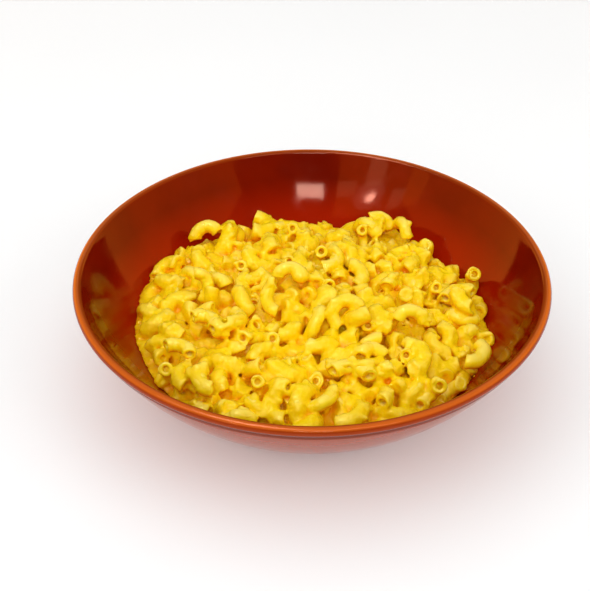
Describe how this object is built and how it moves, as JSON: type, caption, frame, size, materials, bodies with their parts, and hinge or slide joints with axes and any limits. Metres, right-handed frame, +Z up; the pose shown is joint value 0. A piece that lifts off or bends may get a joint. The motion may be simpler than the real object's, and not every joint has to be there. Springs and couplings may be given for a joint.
{
  "type": "mac and cheese in a bowl",
  "caption": "Shallow round glazed terracotta bowl with a sloping wall, filled with a low uneven heap of elbow macaroni in thick cheese sauce.",
  "frame": {"origin": "centre of the bowl's foot, on the surface that the bowl stands on", "axes": "+Z up, -Y towards the diner's side from which the dish is seen, +X to that diner's right"},
  "size_m": [0.25, 0.25, 0.064],
  "materials": {
    "glaze": "glossy reddish-brown glaze on terracotta, a little lighter where it thins at the lip",
    "macaroni": "soft cooked elbow macaroni coated in wet yellow cheese sauce"
  },
  "bodies": {
    "root": {"bowl": "glaze", "macaroni_heap": "macaroni"}
  },
  "joints": []
}
